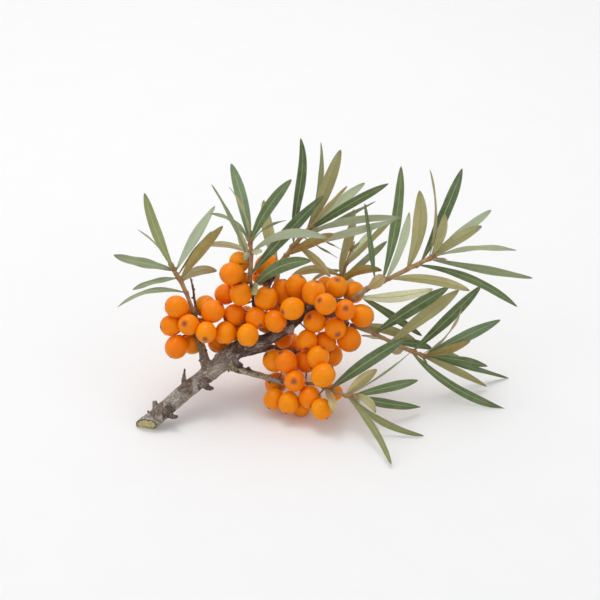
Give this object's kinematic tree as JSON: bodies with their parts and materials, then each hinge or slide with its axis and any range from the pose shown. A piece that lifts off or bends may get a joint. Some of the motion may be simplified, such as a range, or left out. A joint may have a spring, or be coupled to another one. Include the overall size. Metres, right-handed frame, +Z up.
{
  "type": "sea buckthorn sprig",
  "caption": "Cut sea buckthorn sprig lying on a surface: a rough woody branch with side twigs, narrow grey-green leaves and tight bunches of orange berries.",
  "frame": {"origin": "on the surface that the sprig lies on, under the middle of its box", "axes": "+X to the right along the sprig's greatest width, +Y to the back, +Z up"},
  "size_m": [0.1881, 0.1132, 0.1112],
  "materials": {
    "bark": "rough grey-brown bark with pale patches and dark cracks",
    "leaf": "satin grey-green blade with a pale midrib and an olive underside",
    "berry": "glossy, slightly translucent orange skin",
    "young_stem": "smooth rust-tan young wood",
    "calyx": "dry brown remnant at the berry's tip",
    "cut_wood": "pale sawn wood with growth rings",
    "bud": "rust-brown scaly buds"
  },
  "bodies": {
    "root": {"main_branch": "bark", "left_shoot": "leaf", "centre_shoot": "leaf", "upper_shoot": "leaf", "back_shoot": "leaf", "right_upper_shoot": "leaf", "right_lower_shoot": "leaf", "bottom_shoot": "leaf", "left_bunch": "berry", "top_bunch": "berry", "centre_bunch": "berry", "right_bunch": "berry", "rear_bunch": "berry", "bottom_bunch": "berry"}
  },
  "joints": []
}
